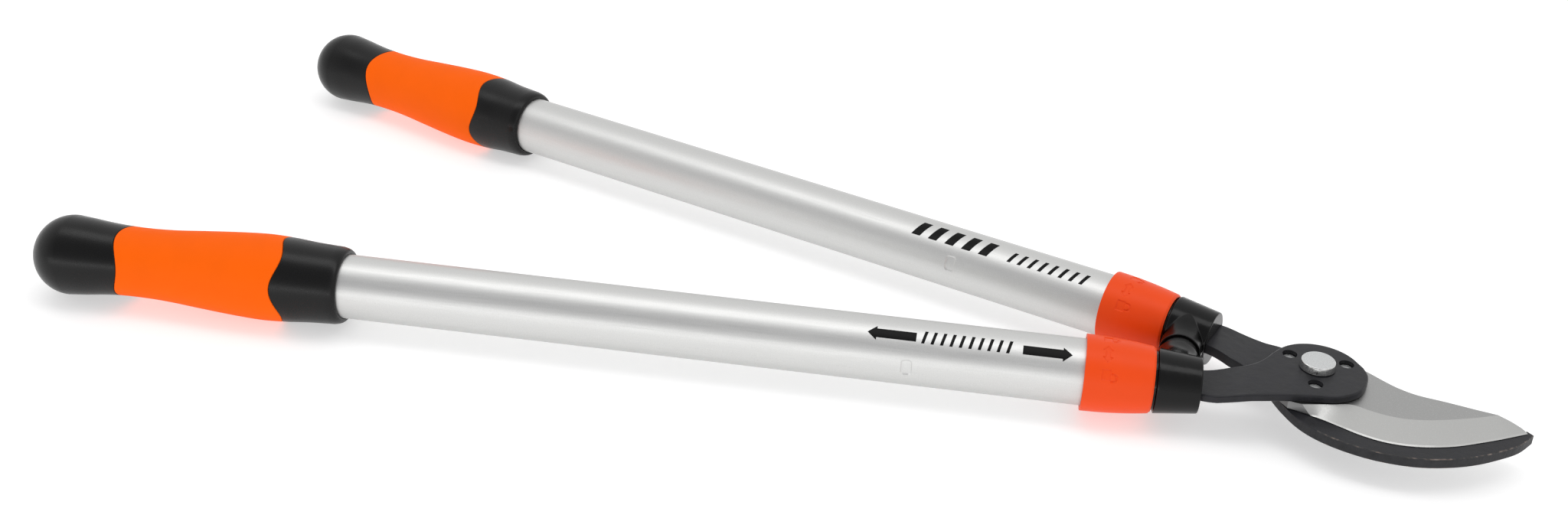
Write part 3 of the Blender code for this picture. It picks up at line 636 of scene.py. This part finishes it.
def blade_loops():
    """Loops from the underside to the upper face, point for point. Then the bevel's start and length."""
    low, high = PLANE_Z - (BLADE_THICKNESS - GAP) / 2, PLANE_Z + (BLADE_THICKNESS - GAP) / 2
    edge_thickness, narrow_bevel, chamfer = 0.0004, 0.00085, 0.0003
    per_span = 8
    around = [*arc((0, 0), 0.0195, 62, 205, 41), *mm([(-16.5, -14), (-14.5, -21), (-9, -26.6)])]
    edge = smooth(mm([(1.4, -28.5), (6, -29.4), (13, -31.7), (23, -35.1), (33, -36.5), (43, -35.4),
                      (53, -32.1), (63, -26.9), (73, -19.7), (79, -15.1), (83.5, -11.4), (87.3, -8.2),
                      (90.6, -5.4)]), per_span)
    bevel_top = smooth(mm([(-3, -26.8), (7, -22.6), (17, -18.5), (24, -19.8), (32, -20.9), (40, -20.4),
                           (48.5, -17.9), (57, -13.9), (66, -8.9), (72.5, -4.8), (77.5, -1.2)]), per_span)
    drop = smooth([(0.0775, -0.0012, high), (0.0830, -0.0018, PLANE_Z + 0.0004),
                   (0.0880, -0.0032, PLANE_Z - 0.0010)], per_span)
    back = smooth(mm([(68, -0.4), (56, 0.6), (44, 1.2), (36, 3.5), (30, 6.6), (23, 11), (16, 15)]), 4)

    wide_top = [(x, y, high) for x, y in bevel_top] + drop[1:]
    narrow = []
    for (x, y), (bx, by, _) in zip(edge, wide_top):
        share = narrow_bevel / math.hypot(bx - x, by - y)
        narrow.append((x + (bx - x) * share, y + (by - y) * share))
    middle = [((x + bx) / 2, (y + by) / 2, (low + edge_thickness + bz) / 2)
              for (x, y), (bx, by, bz) in zip(narrow, wide_top)]

    fall = [(x, y) for x, y, _ in drop[::-1]][1:]
    tip_heights = [z for _, _, z in drop[::-1]][1:]

    def loop(height, around_points, bevel_points, back_points, fall_top):
        return [*[(x, y, height) for x, y in around_points], *bevel_points,
                *[(x, y, min(height, z - fall_top)) for (x, y), z in zip(fall, tip_heights)],
                *[(x, y, height) for x, y in back_points]]

    loops = [
        loop(low, inset(around, chamfer), [(x, y, low) for x, y in edge], inset(back, chamfer), 0.0010),
        loop(low + chamfer, around, [(x, y, low + edge_thickness) for x, y in narrow], back, 0.0006),
        loop(high - chamfer, around, middle, back, 0.0003),
        loop(high, inset(around, chamfer), wide_top, inset(back, chamfer), 0),
    ]
    return loops, len(around), len(edge)


def build_blade():
    """The blade. Faces: 0 flats, 1 wide ground bevel, 2 blanked sides, in steel darkened as painted shade,
    3 narrow bevel.
    """
    loops, start, length = blade_loops()
    bm = bmesh.new()
    rings = [[bm.verts.new(point) for point in loop] for loop in loops]
    count = len(rings[0])
    for lower, upper in zip(rings, rings[1:]):
        ground = 3 if lower is rings[0] else 1
        for i in range(count):
            j = (i + 1) % count
            face = bm.faces.new((lower[i], lower[j], upper[j], upper[i]))
            face.material_index = ground if start <= i < start + length - 1 else 2
    bmesh.ops.remove_doubles(bm, verts=bm.verts, dist=0.000001)
    for face in bmesh.ops.holes_fill(bm, edges=bm.edges)["faces"]:
        face.material_index = 0
    loft = drilled(from_bmesh(bm, "blade_loft"), [((0, 0), PIVOT_BUSH_R + GAP), *dowel_holes()])
    looks = ["blade_flat", "blade_bevel", "blade_side", "blade_edge"]
    blade = add_piece("blade_ground", soften(loft, sharp=12), looks, "blade_side",
                      replaces=["blade"])
    weighted_normals(blade)


def build_pivot():
    """The pivot bolt, whose head has a frosted top, with the washer and the nut beneath."""
    strap_top = PLANE_Z + STRAP_RISE + STRAP_THICKNESS / 2
    head_bottom = strap_top + GAP / 2
    hook_bottom = PLANE_Z - HOOK_DROP - HOOK_THICKNESS / 2
    washer_top = hook_bottom - GAP
    washer_bottom = washer_top - WASHER_THICKNESS
    nut_top = washer_bottom - GAP
    nut_bottom = nut_top - NUT_HEIGHT
    end = nut_bottom - BOLT_PROUD
    chamfer, top_edge = 0.0003, -0.00005
    outline = [(0, 0), (BOLT_TOP_R, 0), (BOLT_TOP_R + chamfer, -chamfer), (BOLT_HEAD_R, head_bottom),
               (PIVOT_SHANK_R, head_bottom), (PIVOT_SHANK_R, end), (0, end)]
    profile = rounded(outline, 0.00015)
    bolt = turned("bolt", profile, even_angles(96))
    for face in bolt.polygons:
        face.material_index = 0 if face.center.z > top_edge else 1
    add_piece("pivot_bolt_turned", bolt, ["zinc_top", "zinc_side"], "hook_side",
              replaces=["pivot_bolt"])

    washer = rounded([(PIVOT_SHANK_R + GAP, washer_bottom), (PIVOT_SHANK_R + GAP, washer_top),
                      (WASHER_R, washer_top), (WASHER_R, washer_bottom)], 0.0003)
    add_piece("pivot_washer_stamped", turned("washer", washer, even_angles(72)), ["zinc_side"], "hook_side",
              replaces=["pivot_washer"])
    build_nut(nut_bottom, nut_top)


def build_dowels():
    """The dowels that key the blade to its strap. They end a little below the strap's top."""
    low = PLANE_Z - BLADE_THICKNESS / 2 + GAP
    high = PLANE_Z + BLADE_THICKNESS / 2 + STRAP_THICKNESS - DOWEL_SINK
    for name, (x, y) in zip(DOWEL_ANGLES, dowel_centres()):
        profile = rounded([(0, high), (DOWEL_R, high), (DOWEL_R, low), (0, low)], 0.0003)
        add_piece(name + "_pressed", turned(name, profile, even_angles(48)), ["zinc_top"], "blade_side",
                  Matrix.Translation((x, y, 0)), [name])


def build_nut(low, high):
    """A hexagonal nut whose corners are turned off at both ends."""
    bore_r = PIVOT_SHANK_R + GAP
    flat_r = NUT_CORNER_R * math.cos(math.radians(30))
    turn = math.tan(math.radians(28))

    def warp(radius, angle, station):
        across = flat_r / math.cos(angle % math.radians(60) - math.radians(30))
        share = (radius - bore_r) / (NUT_CORNER_R - bore_r)
        r = bore_r + (across - bore_r) * share
        cut = max(0, r - flat_r + 0.0002) * turn
        return r, min(max(station, low + cut), high - cut)

    steps = 10
    top = [(bore_r + (NUT_CORNER_R - bore_r) * i / steps, high) for i in range(steps + 1)]
    bottom = [(r, low) for r, _ in top[::-1]]
    nut = turned("nut", [*top, *bottom], even_angles(144), warp)
    add_piece("pivot_nut_turned", nut, ["zinc_side"], "hook_side", replaces=["pivot_nut"])


# ---- the handles ----

def boss_matrix(handle, y_root, y_face):
    turn = Matrix.Rotation(math.radians(90) * SIDES[handle], 4, "X")
    return Matrix.Translation((BOSS_X, (y_root + y_face) / 2, PLANE_Z)) @ turn


def boss_mesh(length):
    """A boss whose round face widens into a taller oval at the sleeve. Its root is at the bottom."""
    rings = [(depth, across, high) for depth, across, high in smooth(mm(BOSS_FLARE), 6) if depth < length]
    rings.append((length, *rings[-1][1:]))
    sides = 96
    bm = bmesh.new()
    loops = [[bm.verts.new((across * math.cos(a), high * math.sin(a), length / 2 - depth))
              for a in even_angles(sides)] for depth, across, high in rings]
    for loop, following in zip(loops, loops[1:]):
        for i in range(sides):
            j = (i + 1) % sides
            bm.faces.new((loop[i], loop[j], following[j], following[i]))
    bm.faces.new(loops[0])
    bm.faces.new(loops[-1])
    return from_bmesh(bm, "boss")


def boss_face_y(handle):
    return CLOSED_MIDLINE_Y + SIDES[handle] * BOSS_FACE_OFFSET


def ferrule_solid(handle):
    """The sleeve, its boss and its neck in one solid, without their hollows."""
    matrix = handle_matrix(handle)
    sleeve = rounded([(0, FERRULE_FRONT), (FERRULE_FRONT_R, FERRULE_FRONT), (FERRULE_REAR_R, FERRULE_REAR),
                      (0, FERRULE_REAR)], 0.0005)
    neck = rounded([(0, FERRULE_REAR - 0.001), (FERRULE_NECK_R, FERRULE_REAR - 0.001),
                    (FERRULE_NECK_R, FERRULE_NECK_END), (0, FERRULE_NECK_END)], 0.0003)
    room_r, room_end = FERRULE_REAR_R + 0.0007, FERRULE_NECK_END + 0.005
    room = [(0, FERRULE_REAR), (room_r, FERRULE_REAR), (room_r, room_end), (0, room_end)]
    face_y = boss_face_y(handle)
    root_y = (matrix @ Vector((0, 0, (FERRULE_FRONT + FERRULE_REAR) / 2))).y
    boss_place = matrix.inverted() @ boss_matrix(handle, root_y, face_y)
    return combined(turned("sleeve", sleeve, even_angles(120)), [
        ("UNION", boss_mesh(abs(root_y - face_y)), boss_place),
        ("DIFFERENCE", turned("collar_room", room, even_angles(90)), Matrix.Identity(4)),
        ("UNION", turned("neck", neck, even_angles(120)), Matrix.Identity(4)),
    ])


def pocket_ends(handle):
    """Y of the buffer pocket's floor, and of a point just outside its mouth."""
    face_y, side, outside = boss_face_y(handle), SIDES[handle], 0.001
    return face_y + side * BUFFER_POCKET, face_y - side * outside


def ferrule_hollows(handle):
    """The inner tube's socket, the tang's slot and the buffer's pocket, as boolean steps."""
    plate_thickness = {"near": STRAP_THICKNESS, "far": HOOK_THICKNESS}[handle]
    slot = cylinder("slot", math.sqrt(0.5), -0.5, 0.5, 4)
    slot_place = (Matrix.Translation((0, 0, (FERRULE_FRONT - 0.001 + TUBE_SOCKET) / 2))
                  @ Matrix.Diagonal((plate_thickness + 2 * GAP, 2 * (TANG_HALF_WIDTH + GAP),
                                     TUBE_SOCKET - FERRULE_FRONT + 0.0012, 1))
                  @ Matrix.Rotation(math.radians(45), 4, "Z"))
    floor_y, mouth_y = pocket_ends(handle)
    depth = abs(floor_y - mouth_y)
    pocket = cylinder("pocket", BUFFER_R + GAP, -depth / 2, depth / 2, 96)
    pocket_place = handle_matrix(handle).inverted() @ boss_matrix(handle, floor_y, mouth_y)
    socket = cylinder("socket", INNER_TUBE_R + GAP, TUBE_SOCKET, FERRULE_NECK_END + 0.001, 96)
    return [("DIFFERENCE", socket, Matrix.Identity(4)), ("DIFFERENCE", slot, slot_place),
            ("DIFFERENCE", pocket, pocket_place)]


def build_ferrule(handle):
    """A black moulding: a sleeve for the tang, with a boss that holds the rubber buffer."""
    mesh = combined(smoothed(ferrule_solid(handle)), ferrule_hollows(handle))
    add_piece(handle + "_ferrule_moulded", soften(mesh, sharp=40), ["ferrule_plastic"],
              HEAD_BODIES[handle], handle_matrix(handle), [handle + "_ferrule"])


def build_buffer(handle):
    """The rubber buffer in the boss. It stops half a gap short of the closed loppers' midline."""
    side = SIDES[handle]
    floor_y = pocket_ends(handle)[0]
    length = abs(floor_y - CLOSED_MIDLINE_Y) - 1.5 * GAP
    outline = rounded([(0, length / 2), (BUFFER_R, length / 2), (BUFFER_R, -length / 2), (0, -length / 2)],
                      0.0006)
    centre_y = (floor_y - side * GAP + CLOSED_MIDLINE_Y + side * GAP / 2) / 2
    add_piece(handle + "_buffer_moulded", turned("buffer", outline, even_angles(72)), ["buffer_rubber"],
              HEAD_BODIES[handle], boss_matrix(handle, centre_y, centre_y),
              [handle + "_buffer"])


def box_distance(u, v, half_u, half_v):
    """How far outside a rectangle a point is. It is negative inside."""
    du, dv = abs(u) - half_u, abs(v) - half_v
    return math.hypot(max(du, 0), max(dv, 0)) + min(max(du, dv), 0)


def build_outer_tube(handle):
    """A drawn aluminium tube with rounded ends and one small dimple pressed in."""
    dimple_angle = DIMPLE_ANGLES[handle]
    half_along, half_around, corner, depth, wall = 0.0023, 0.0036, 0.0013, 0.0005, 0.0006

    def warp(radius, angle, station):
        if radius < OUTER_TUBE_R - 0.0001:
            return radius, station
        around = (-math.degrees(angle) - dimple_angle + 180) % 360 - 180
        v = math.radians(around) * OUTER_TUBE_R
        distance = box_distance(station - DIMPLE_STATION, v, half_along - corner, half_around - corner)
        return radius - depth * ease(0.5 - (distance - corner) / wall), station

    outline = rounded([(OUTER_BORE_R, OUTER_TUBE_START), (OUTER_BORE_R, OUTER_TUBE_END),
                       (OUTER_TUBE_R, OUTER_TUBE_END), (OUTER_TUBE_R, OUTER_TUBE_START)], TUBE_EDGE)
    profile = refined(refined(outline, 0.02), 0.0003, DIMPLE_STATION - 0.005, DIMPLE_STATION + 0.005)
    angles = dense_angles(dimple_angle - 22, dimple_angle + 22, 1.2, 3)
    add_piece(handle + "_outer_tube_drawn", turned(handle + "_outer", profile, angles, warp),
              ["tube_aluminium"], handle + "_handle", handle_matrix(handle),
              [handle + "_outer_tube"])


def build_inner_tube(handle):
    outline = rounded([(INNER_BORE_R, TUBE_SOCKET + GAP), (INNER_BORE_R, INNER_TUBE_END),
                       (INNER_TUBE_R, INNER_TUBE_END), (INNER_TUBE_R, TUBE_SOCKET + GAP)], TUBE_EDGE)
    drill = cylinder("drill", PIN_HOLE_R, -0.02, 0.02)
    place = Matrix.Translation((0, 0, PIN_STATION)) @ Matrix.Rotation(math.radians(90), 4, "Y")
    mesh = combined(turned(handle + "_inner", outline, even_angles(96)), [("DIFFERENCE", drill, place)])
    add_piece(handle + "_inner_tube_drawn", soften(mesh), ["tube_aluminium"], HEAD_BODIES[handle],
              handle_matrix(handle), [handle + "_inner_tube"])


def arrow_distance(u, v):
    """A two-headed arrow that lies across the collar."""
    stem = box_distance(u, v, 0.0010, 0.0025)
    head = max(0.0018 - abs(v), (abs(u) - (0.0043 - abs(v)) * 0.9) * 0.74)
    return min(stem, head)


def padlock_distance(u, v, slide):
    """A padlock whose bow points to the head. slide moves the bow sideways, which opens the lock."""
    half_body = 0.0019
    body = box_distance(u, v, half_body, 0.0024)
    bow_r, bow_width, leg = 0.0016, 0.0008, 0.0010
    along, across = u + half_body + leg, v - slide
    reach = math.hypot(along, across) if along < 0 else abs(across)
    bow = max(abs(reach - bow_r) - bow_width / 2, along - leg)
    return min(body, bow)


def open_padlock(u, v):
    return padlock_distance(u, v, 0.0012)


def closed_padlock(u, v):
    return padlock_distance(u, v, 0)


# Each collar's signs and where they stand, in degrees from the top towards -Y
COLLAR_SIGNS = {"near": [(-9, closed_padlock), (24.5, arrow_distance), (58, open_padlock)],
                "far": [(-12, open_padlock), (22, arrow_distance), (52.3, closed_padlock)]}


def collar_outline():
    bore = mm([(13.7, 75.0), (14.05, 75.3), (14.75, 86.6), (15.3, 87.2)])
    outside = smooth(mm([(17.1, 102.4), (17.2, 101.6), (16.9, 92), (16.1, 82), (15.1, 73.8),
                         (14.8, 72.8)]), 6)
    return [(0.0137, COLLAR_FRONT), *bore, (OUTER_TUBE_R + GAP, COLLAR_REAR), (0.01675, COLLAR_REAR),
            *outside, (0.0142, COLLAR_FRONT)]


def build_collar(handle):
    """The orange twist collar, with an open padlock, a two-headed arrow and a closed padlock let in."""
    station, depth, wall = 0.0932, 0.0004, 0.0003
    inside_r, ahead, behind = 0.0155, 0.0085, 0.0065

    def warp(radius, angle, along):
        if radius < inside_r or abs(along - station) > ahead:
            return radius, along
        degrees = (-math.degrees(angle) + 180) % 360 - 180
        distance = min(sign(along - station, math.radians(degrees - place) * radius)
                       for place, sign in COLLAR_SIGNS[handle])
        return radius - depth * ease(0.5 - distance / wall), along

    profile = refined(collar_outline(), 0.00025, station - ahead, station + behind)
    angles = dense_angles(-24, 74, 0.8, 3)
    add_piece(handle + "_lock_collar_moulded", turned(handle + "_collar", profile, angles, warp),
              ["collar_plastic"], handle + "_lock", handle_matrix(handle),
              [handle + "_lock_collar"])


def grip_outline():
    """The grip's outer line as (radius, station): a smooth waist and swell, then the round bulb."""
    swell = smooth(mm([(18.3, 448), (18.9, 460), (19.8, 470), (20.3, 480), (20.2, 488), (19.5, 500),
                       (18.3, 515), (17.1, 529), (16.6, 540), (16.6, 551), (17.2, 561), (18.3, 571)]), 8)
    bulb = [(BULB_R * math.cos(a), BULB_CENTRE + BULB_LENGTH * math.sin(a))
            for a in (math.radians(5 * i) for i in range(18))]
    return [*swell, *bulb, (0, BULB_CENTRE + BULB_LENGTH)]


def grip_wall(depth, low, high):
    """The grip's outer line between two stations, sunk by a depth."""
    outline = grip_outline()
    inside = [s for _, s in outline if low + 0.0006 < s < high - 0.0006]
    return [(radius_at(outline, s) - depth, s) for s in (low, *inside, high)]


def wavy(handle):
    """The warp that gives the band's two edges their waves."""
    phase = math.radians(WAVE_PHASES[handle])

    def warp(radius, angle, station):
        if radius < OUTER_TUBE_R + GAP + 0.00005:
            return radius, station
        front = max(0, 1 - abs(station - BAND_FRONT) / WAVE_REACH) * math.cos(4 * (angle + phase))
        rear = max(0, 1 - abs(station - BAND_REAR) / WAVE_REACH) * math.cos(3 * (angle + phase))
        return radius, station + WAVE * (front - rear)

    return warp


def add_grip_piece(handle, node, profile, slot):
    mesh = turned(node, profile, even_angles(144), wavy(handle))
    mesh.transform(handle_matrix(handle))
    add_piece(node + "_moulded", mesh, [slot], handle + "_handle", replaces=[node])


def build_grip(handle):
    """The hard black grip, hollow over the tube and let in for the band."""
    outline = grip_outline()
    bore_r, corner = OUTER_TUBE_R + GAP, BAND_CORNER
    hollow = [(0, 0.586), (0.0080, 0.584), (0.0120, 0.576), (0.0120, OUTER_TUBE_END + GAP),
              (bore_r, OUTER_TUBE_END + GAP), (bore_r, GRIP_FRONT)]
    rim = mm([(15.9, 444.1), (16.6, 444.2), (17.15, 444.6), (17.6, 445.3), (17.95, 446.3)])
    front = grip_wall(0, 0.448, BAND_FRONT)
    rear = [point for point in outline if point[1] > BAND_REAR + 0.0006]
    add_grip_piece(handle, handle + "_grip", [
        *hollow, *rim, *front[:-1],
        (front[-1][0], BAND_FRONT - corner), (front[-1][0] - corner, BAND_FRONT),
        *grip_wall(BAND_DEPTH, BAND_FRONT, BAND_REAR),
        (radius_at(outline, BAND_REAR) - corner, BAND_REAR),
        (radius_at(outline, BAND_REAR), BAND_REAR + corner), *rear], "grip_black")


def build_band(handle):
    """The soft orange band let into the grip."""
    outline = grip_outline()
    low, high, corner = BAND_FRONT + GAP / 2, BAND_REAR - GAP / 2, BAND_CORNER
    outer = grip_wall(0, low + corner, high - corner)
    add_grip_piece(handle, handle + "_grip_band", [
        *grip_wall(BAND_DEPTH - GAP, low, high), (radius_at(outline, high) - corner, high),
        *outer[::-1], (radius_at(outline, low) - corner, low)], "grip_orange")


# ---- printing on the tubes: plain arrows, and slanted bars where the words are left out ----

def arrow_outline(tail, tip):
    """An arrow between two stations, its shaft 4.4 mm wide and its head 7 mm wide."""
    shaft, head, back = 0.0022, 0.0035, math.copysign(0.0041, tail - tip)
    return [(tail, -shaft), (tip + back, -shaft), (tip + back, -head), (tip, 0), (tip + back, head),
            (tip + back, shaft), (tail, shaft)]


def bar_outline(middle, width, top, bottom, slant):
    """A bar that leans towards the head. top and bottom are distances round the tube."""
    return [(middle - slant - width / 2, top), (middle - slant + width / 2, top),
            (middle + slant + width / 2, bottom), (middle + slant - width / 2, bottom)]


def build_print(name, handle, outline, angle):
    """A thin film of black print, wrapped round the outer tube from a (station, around) outline."""
    film = 0.00004
    bm = bmesh.new()
    inner, outer = [[bm.verts.new((s, v, height)) for s, v in outline] for height in (0, film)]
    bm.faces.new(inner)
    bm.faces.new(outer)
    for i in range(len(outline)):
        j = (i + 1) % len(outline)
        bm.faces.new((inner[i], inner[j], outer[j], outer[i]))
    low, high = min(v for _, v in outline), max(v for _, v in outline)
    cuts = math.ceil((high - low) / 0.0005)
    for i in range(1, cuts):
        bmesh.ops.bisect_plane(bm, geom=[*bm.verts, *bm.edges, *bm.faces], dist=0.000001,
                               plane_co=(0, low + (high - low) * i / cuts, 0), plane_no=(0, 1, 0))
    for vertex in bm.verts:
        station, around, height = vertex.co
        turn = -(math.radians(angle) + around / OUTER_TUBE_R)
        radius = OUTER_TUBE_R + height
        vertex.co = (radius * math.cos(turn), radius * math.sin(turn), station)
    add_piece(name, soften(from_bmesh(bm, name)), ["tube_print"], handle + "_handle",
              handle_matrix(handle))


def build_prints():
    build_print("near_tube_arrow_rear", "near", arrow_outline(0.1772, 0.1990), 31)
    build_print("near_tube_arrow_front", "near", arrow_outline(0.1301, 0.1084), 31.5)
    # name, handle, first and last station, count, width, top, bottom, slant, angle from the top
    rows = [("near_tube_bar", "near", 0.1735, 0.1360, 10, 0.0014, -0.0030, 0.0032, 0.0007, 29),
            ("far_tube_broad_bar", "far", 0.2005, 0.1645, 5, 0.0046, -0.0044, 0.0044, 0.0016, 22),
            ("far_tube_bar", "far", 0.1515, 0.1145, 8, 0.0018, -0.0031, 0.0031, 0.0011, 24.5)]
    for name, handle, first, last, count, width, top, bottom, slant, angle in rows:
        for i in range(count):
            middle = first + (last - first) * i / (count - 1)
            outline = bar_outline(middle, width, top, bottom, slant)
            build_print(f"{name}_{i + 1}", handle, outline, angle)


# ---- carried-over nodes, floor, light and camera ----

def finish_cad_nodes():
    """Inner pieces that keep their CAD shape get a real finish."""
    looks = {"pivot_bush": "bronze", "tang_pin": "zinc_side", "guide_bush": "bush_plastic",
             "collet": "bush_plastic"}
    for name, node in frame["nodes"].items():
        for ending, look in looks.items():
            if name.endswith(ending):
                node.data.materials.clear()
                node.data.materials.append(materials[look])
                soften(node.data)


def build_floor():
    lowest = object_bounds()[0].z
    half_width, clearance = 40, 0.0002
    bm = bmesh.new()
    bmesh.ops.create_grid(bm, x_segments=1, y_segments=1, size=half_width)
    floor = bpy.data.objects.new("floor", from_bmesh(bm, "floor"))
    floor.location.z = lowest - clearance
    bpy.context.scene.collection.objects.link(floor)
    paper = new_material("floor_paper", (0.65, 0.65, 0.65), 0.8)
    vary_colour(paper, noise(paper, 0.4), [(0.3, (0.645, 0.645, 0.645)), (0.7, (0.655, 0.655, 0.655))])
    glow = paper.node_tree.nodes["Principled BSDF"].inputs
    glow["Emission Color"].default_value = (1, 1, 1, 1)
    glow["Emission Strength"].default_value = 0.5
    floor.data.materials.append(paper)


def add_softbox(name, place, target, size, power):
    light = bpy.data.lights.new(name, "AREA")
    light.shape = "RECTANGLE"
    light.size, light.size_y = size
    light.energy = power
    obj = bpy.data.objects.new(name, light)
    obj.location = place
    obj.rotation_mode = "QUATERNION"
    obj.rotation_quaternion = (Vector(place) - Vector(target)).to_track_quat("Z", "Y")
    bpy.context.scene.collection.objects.link(obj)


def light_scene():
    """Two softboxes in a white studio, which is greyer behind the camera and above it."""
    world = bpy.data.worlds.new("studio")
    bpy.context.scene.world = world
    world.use_nodes = True
    nodes, links = world.node_tree.nodes, world.node_tree.links
    place = nodes.new("ShaderNodeTexCoord")
    facing = nodes.new("ShaderNodeVectorMath")
    facing.operation = "DOT_PRODUCT"
    facing.inputs[1].default_value = Vector((-0.1, -0.68, 0.72)).normalized()
    ramp = nodes.new("ShaderNodeValToRGB")
    ramp.color_ramp.elements[0].position = 0.65
    ramp.color_ramp.elements[0].color = (0.88, 0.88, 0.88, 1)
    ramp.color_ramp.elements[1].position = 0.95
    ramp.color_ramp.elements[1].color = (0.42, 0.42, 0.43, 1)
    links.new(place.outputs["Generated"], facing.inputs[0])
    links.new(facing.outputs["Value"], ramp.inputs["Fac"])
    links.new(ramp.outputs["Color"], nodes["Background"].inputs["Color"])
    middle = (-0.25, 0, 0)
    add_softbox("top_softbox", (-0.25, -0.07, 1.1), middle, (1.8, 0.4), 4.2)
    add_softbox("front_strip", (-0.4, -1.3, 0.1), middle, (1.8, 0.11), 2.4)


def add_camera():
    """The camera looks down on the loppers from the near handle's side, and a little to the left."""
    place = (-0.0039, -0.7273, 0.4298)
    yaw, pitch, roll = math.radians(-18.888), math.radians(29.373), math.radians(2.436)
    forward = Vector((math.sin(yaw) * math.cos(pitch), math.cos(yaw) * math.cos(pitch), -math.sin(pitch)))
    level = Vector((math.cos(yaw), -math.sin(yaw), 0))
    above = level.cross(forward)
    right = math.cos(roll) * level + math.sin(roll) * above
    up = math.cos(roll) * above - math.sin(roll) * level
    matrix = Matrix((right, up, -forward)).transposed().to_4x4()
    matrix.translation = place
    data = bpy.data.cameras.new("camera")
    data.sensor_width = 36
    data.lens = 41.88
    data.clip_start = 0.01
    camera = bpy.data.objects.new("camera", data)
    camera.matrix_world = matrix
    bpy.context.scene.collection.objects.link(camera)
    bpy.context.scene.camera = camera


make_all_materials()
build_plates()
build_blade()
build_pivot()
build_dowels()
for handle in SIDES:
    build_ferrule(handle)
    build_buffer(handle)
    build_inner_tube(handle)
    build_outer_tube(handle)
    build_collar(handle)
    build_grip(handle)
    build_band(handle)
build_prints()
finish_cad_nodes()
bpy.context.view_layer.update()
build_floor()
light_scene()
add_camera()
bpy.context.scene.view_settings.view_transform = "Standard"
